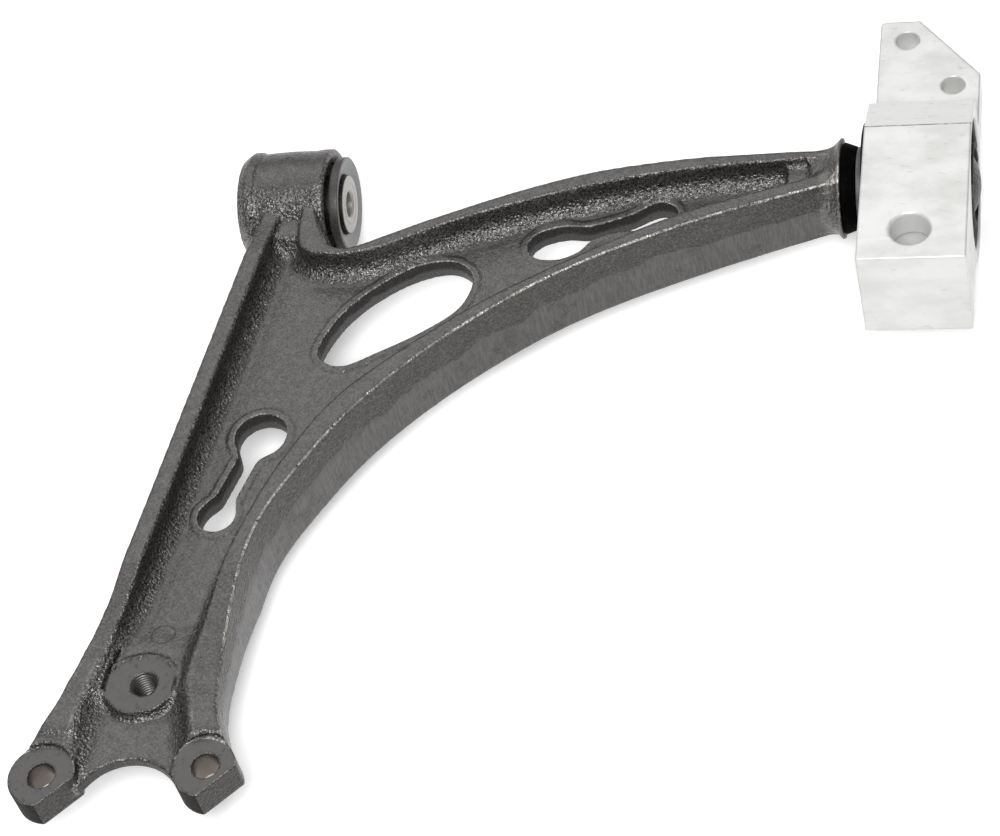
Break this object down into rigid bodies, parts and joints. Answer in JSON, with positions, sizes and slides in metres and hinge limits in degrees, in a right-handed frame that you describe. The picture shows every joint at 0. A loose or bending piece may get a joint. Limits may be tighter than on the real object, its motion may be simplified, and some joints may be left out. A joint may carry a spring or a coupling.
{
  "type": "control arm",
  "caption": "L-shaped cast iron suspension arm with slotted ribbed web, fork and threaded pad, a rubber bush in its front eye and another in an aluminium bracket.",
  "frame": {"origin": "middle of the bottom of the bounding box", "axes": "+X along the swing axis through both bushes, towards the rear bracket; -Y towards the fork for the ball joint; +Z normal to the web, up"},
  "size_m": [0.4314, 0.4836, 0.0745],
  "materials": {
    "cast_iron": "coated casting, grainy, satin",
    "aluminium": "extruded and sawn, satin",
    "sleeve_steel": "turned, satin",
    "disc_metal": "smooth grey, satin",
    "core_metal": "dull grey",
    "rubber": "black, dull"
  },
  "bodies": {
    "arm": {"arm_casting": "cast_iron", "front_bush_outer_sleeve": "sleeve_steel", "front_bush_rubber": "rubber", "rear_bush_stop_ring": "rubber", "rear_bush_inner_core": "core_metal", "rear_bush_rubber": "rubber"},
    "front_pivot": {"front_bush_inner_sleeve": "sleeve_steel", "front_bush_stop_disc": "disc_metal"},
    "rear_mount": {"rear_bracket": "aluminium", "rear_bush_outer_sleeve": "rubber"}
  },
  "joints": [
    {"name": "front_bush_twist", "type": "hinge", "parent": "arm", "child": "front_pivot", "pos_m": [-0.13975, 0.12425, 0.0385], "axis": [1, 0, 0], "range_deg": [-20, 20], "stiffness_Nm_per_rad": 57},
    {"name": "rear_bush_twist", "type": "hinge", "parent": "arm", "child": "rear_mount", "pos_m": [0.18625, 0.12425, 0.0385], "axis": [1, 0, 0], "range_deg": [-20, 20], "stiffness_Nm_per_rad": 70}
  ]
}
